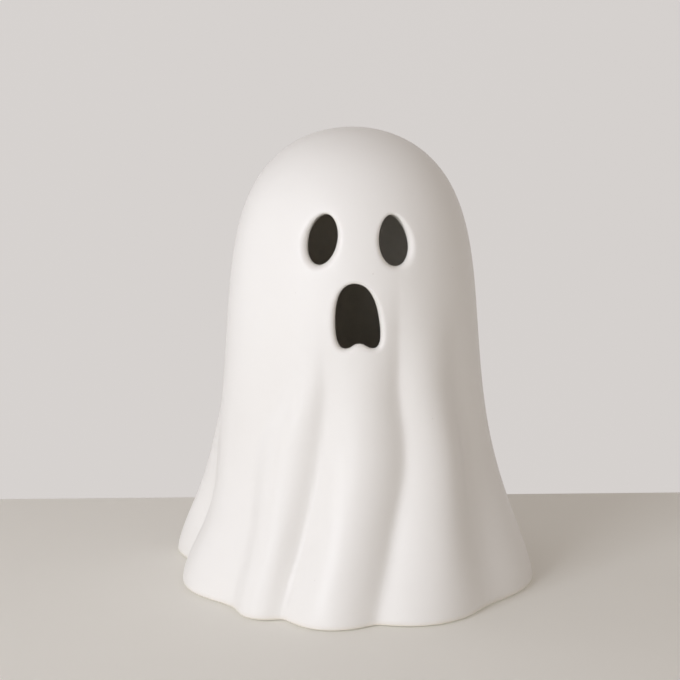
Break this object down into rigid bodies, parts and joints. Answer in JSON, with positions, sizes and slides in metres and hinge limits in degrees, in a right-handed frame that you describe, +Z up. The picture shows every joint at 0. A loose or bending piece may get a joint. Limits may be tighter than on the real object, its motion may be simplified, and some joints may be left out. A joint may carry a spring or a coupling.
{
  "type": "ghost lamp",
  "caption": "Hollow glazed ceramic ghost with open eyes and mouth, lit from inside by a battery light unit pushed into its floor.",
  "frame": {"origin": "on the table, under the middle of the lamp's outline, at the undersides of the anti-slip pads", "axes": "+Z up, the face looks towards -Y, +X to the viewer's right when facing the lamp"},
  "size_m": [0.1442, 0.1388, 0.181],
  "materials": {
    "glaze": "satin white glaze",
    "white_plastic": "moulded, fine matt",
    "frosted_plastic": "frosted, translucent",
    "silicone": "matt translucent silicone",
    "black_plastic": "matt",
    "board_lacquer": "green solder mask",
    "led_resin": "clear warm resin",
    "cell_sleeve": "plain printed sleeve over steel",
    "nickel": "nickel plate",
    "steel": "zinc plated",
    "resistor_body": "lacquered",
    "red_sleeve": "PVC sleeve",
    "black_sleeve": "PVC sleeve"
  },
  "bodies": {
    "lamp": {"ghost_body": "glaze", "anti_slip_pad_1": "silicone", "anti_slip_pad_2": "silicone", "anti_slip_pad_3": "silicone", "anti_slip_pad_4": "silicone", "lamp_housing": "white_plastic", "housing_lid": "white_plastic", "light_diffuser": "frosted_plastic", "retaining_ring": "silicone", "battery_1": "cell_sleeve", "battery_2": "cell_sleeve", "battery_3": "cell_sleeve", "positive_plate": "nickel", "negative_plate": "nickel", "bridge_plate_a": "nickel", "bridge_plate_b": "nickel", "contact_spring_1": "steel", "contact_spring_2": "steel", "contact_spring_3": "steel", "lid_screw_1": "steel", "lid_screw_2": "steel", "lid_screw_3": "steel", "board_screw_1": "steel", "board_screw_2": "steel", "circuit_board": "board_lacquer", "controller_chip": "black_plastic", "resistor": "resistor_body", "led": "led_resin", "switch_body": "black_plastic", "wire_battery_to_switch": "red_sleeve", "wire_switch_to_board": "red_sleeve", "wire_battery_to_board": "black_sleeve"},
    "door": {"battery_door": "white_plastic"},
    "knob": {"switch_knob": "black_plastic"}
  },
  "joints": [
    {"name": "battery_door_hinge", "type": "hinge", "parent": "lamp", "child": "door", "pos_m": [-0.027, 0, 0.0032], "axis": [0, 1, 0], "range_deg": [0, 90]},
    {"name": "power_switch_slide", "type": "slide", "parent": "lamp", "child": "knob", "axis": [1, 0, 0], "range_m": [0, 0.004]}
  ]
}
